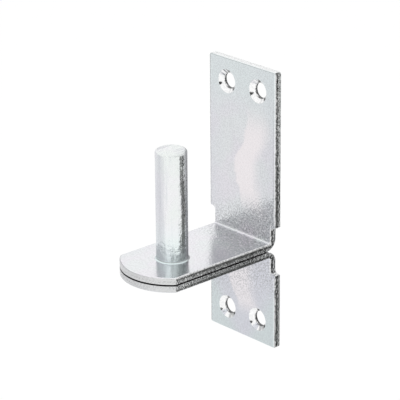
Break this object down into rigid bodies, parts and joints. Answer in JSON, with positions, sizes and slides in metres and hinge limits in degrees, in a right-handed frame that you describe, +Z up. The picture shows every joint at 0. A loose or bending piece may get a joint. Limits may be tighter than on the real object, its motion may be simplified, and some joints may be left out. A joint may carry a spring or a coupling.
{
  "type": "gate hinge pin on a wall plate",
  "caption": "Upright round hinge pin riveted to the arms of a folded steel wall plate with countersunk screw holes; carries the eye of a gate hinge strap.",
  "frame": {"origin": "middle of the screw pattern, on the plane of the wall", "axes": "+Z up along the pin, +Y into the wall, the arms stand out along -Y"},
  "size_m": [0.039, 0.063, 0.12],
  "materials": {
    "plated_sheet": "satin",
    "plated_bar": "satin"
  },
  "bodies": {
    "root": {"upper_angle_plate": "plated_sheet", "lower_angle_plate": "plated_sheet", "hinge_pin": "plated_bar"}
  },
  "joints": []
}
